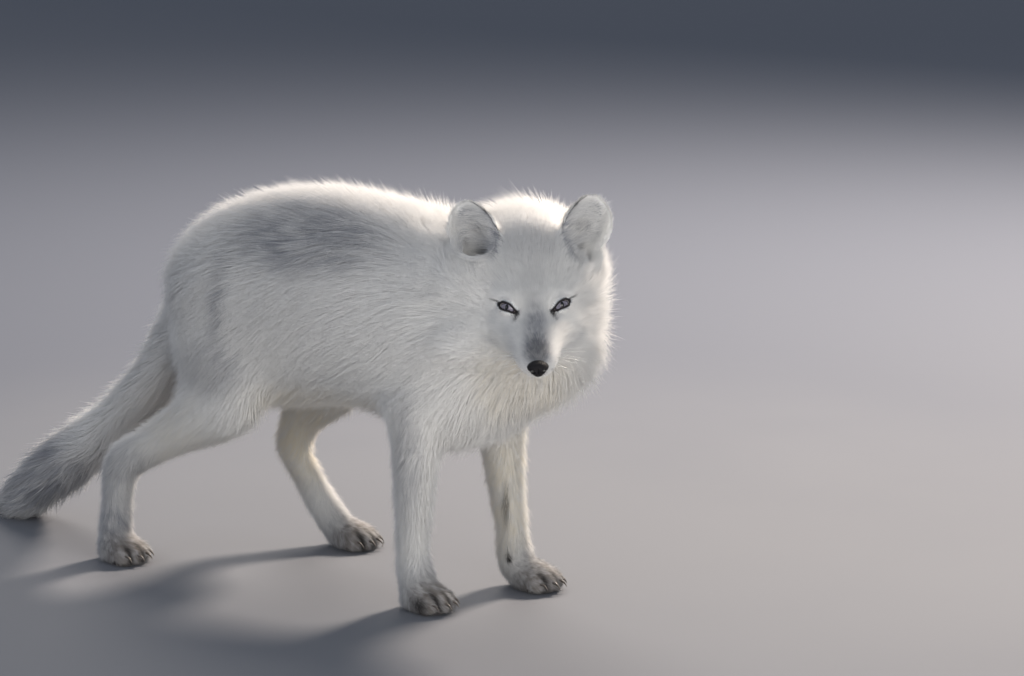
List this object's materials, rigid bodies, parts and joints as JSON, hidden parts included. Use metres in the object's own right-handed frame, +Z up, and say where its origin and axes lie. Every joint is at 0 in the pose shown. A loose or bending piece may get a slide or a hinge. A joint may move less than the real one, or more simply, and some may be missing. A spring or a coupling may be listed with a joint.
{
  "type": "arctic fox",
  "caption": "Life-size still model of an arctic fox in long white winter coat, standing in mid-step with its head turned to its right.",
  "frame": {"origin": "on the floor, under the middle of the bounding box", "axes": "+Z up from the soles; the fox's body faces -Y and its tail points to +Y; its left side is +X"},
  "size_m": [0.1872, 0.6354, 0.3374],
  "materials": {
    "fur_white": "long soft white winter fur",
    "fur_paw": "short brownish-grey fur with dark horn claws",
    "nose_leather": "moist black nose skin",
    "eye_gloss": "wet glossy eye"
  },
  "bodies": {
    "root": {"head": "fur_white", "ear_left": "fur_white", "ear_right": "fur_white", "eye_left": "eye_gloss", "eye_right": "eye_gloss", "nose": "nose_leather", "neck": "fur_white", "trunk": "fur_white", "tail_base": "fur_white", "tail_tip": "fur_white", "foreleg_left": "fur_white", "foreleg_right": "fur_white", "forepaw_left": "fur_paw", "forepaw_right": "fur_paw", "thigh_left": "fur_white", "thigh_right": "fur_white", "shank_left": "fur_white", "shank_right": "fur_white", "hindpaw_left": "fur_paw", "hindpaw_right": "fur_paw"}
  },
  "joints": []
}
